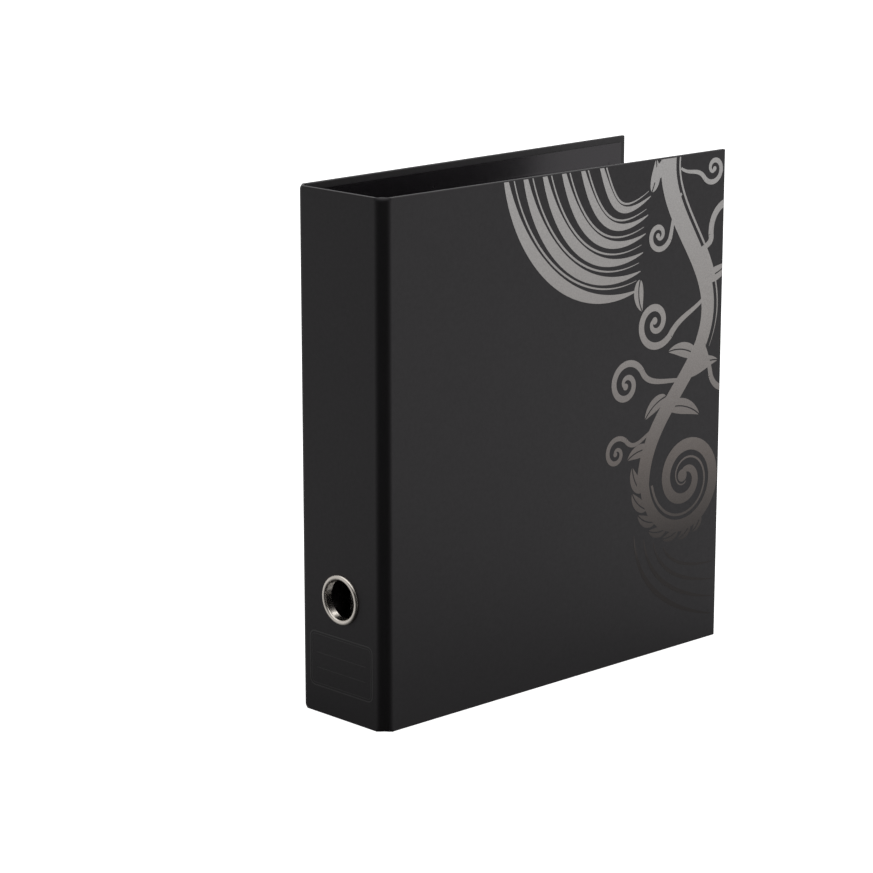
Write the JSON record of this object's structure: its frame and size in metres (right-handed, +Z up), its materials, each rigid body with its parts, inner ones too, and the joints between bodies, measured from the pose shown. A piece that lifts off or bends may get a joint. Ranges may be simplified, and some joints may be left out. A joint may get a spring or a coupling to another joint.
{
  "type": "ring binder",
  "caption": "Tall wide-spined ring binder: wrapped-board case with flexible creases, finger ring in the spine, and a D-ring mechanism with end triggers inside the back cover.",
  "frame": {"origin": "bottom centre of the spine's outer face, on the surface the binder stands on", "axes": "+Z up along the spine, +Y from the spine to the fore edges, +X from the back cover to the front cover"},
  "size_m": [0.0887, 0.2891, 0.32],
  "materials": {
    "greyboard": "raw greyboard",
    "cover_paper": "matt laminated",
    "lining_paper": "satin",
    "nickel_fittings": "polished nickel plate",
    "nickel_sheet": "nickel-plated sheet steel",
    "nickel_wire": "nickel-plated steel wire",
    "zinc_plate": "zinc-plated"
  },
  "bodies": {
    "spine": {"spine_board": "greyboard", "spine_wrap": "cover_paper", "spine_liner": "lining_paper", "front_crease": "cover_paper", "back_crease": "cover_paper", "finger_ring": "nickel_fittings", "finger_ring_washer": "nickel_fittings"},
    "front_cover": {"front_board": "greyboard", "front_wrap": "cover_paper", "front_liner": "lining_paper"},
    "back_cover": {"back_board": "greyboard", "back_wrap": "cover_paper", "back_liner": "lining_paper", "ring_housing": "nickel_sheet", "trigger_pins": "nickel_wire", "mounting_rivets": "nickel_fittings"},
    "post_plate": {"post_hinge_plate": "zinc_plate", "ring_post_lower": "nickel_wire", "ring_post_middle": "nickel_wire", "ring_post_upper": "nickel_wire"},
    "arch_plate": {"arch_hinge_plate": "zinc_plate", "ring_arch_lower": "nickel_wire", "ring_arch_middle": "nickel_wire", "ring_arch_upper": "nickel_wire"},
    "lower_trigger": {"lower_trigger": "nickel_sheet"},
    "upper_trigger": {"upper_trigger": "nickel_sheet"}
  },
  "joints": [
    {"name": "front_hinge", "type": "hinge", "parent": "spine", "child": "front_cover", "pos_m": [0.03575, 0.0015, 0.16], "axis": [0, 0, -1], "range_deg": [-2.6, 87.4], "deforming": ["front_crease"]},
    {"name": "back_hinge", "type": "hinge", "parent": "spine", "child": "back_cover", "pos_m": [-0.03575, 0.0015, 0.16], "axis": [0, 0, 1], "range_deg": [0, 90], "deforming": ["back_crease"]},
    {"name": "ring_post_hinge", "type": "hinge", "parent": "back_cover", "child": "post_plate", "pos_m": [-0.03105, 0.0642, 0.16], "axis": [0, 0, 1], "range_deg": [0, 16]},
    {"name": "ring_arch_hinge", "type": "hinge", "parent": "back_cover", "child": "arch_plate", "pos_m": [-0.03105, 0.0378, 0.16], "axis": [0, 0, 1], "range_deg": [-16, 0]},
    {"name": "lower_trigger_pivot", "type": "hinge", "parent": "back_cover", "child": "lower_trigger", "pos_m": [-0.02925, 0.051, 0.027], "axis": [0, 1, 0], "range_deg": [0, 40]},
    {"name": "upper_trigger_pivot", "type": "hinge", "parent": "back_cover", "child": "upper_trigger", "pos_m": [-0.02925, 0.051, 0.293], "axis": [0, -1, 0], "range_deg": [0, 40]}
  ],
  "couplings": [
    {"joint": "ring_arch_hinge", "follows": "ring_post_hinge", "ratio": -1},
    {"joint": "lower_trigger_pivot", "follows": "ring_post_hinge", "ratio": 2.5},
    {"joint": "upper_trigger_pivot", "follows": "ring_post_hinge", "ratio": 2.5}
  ]
}
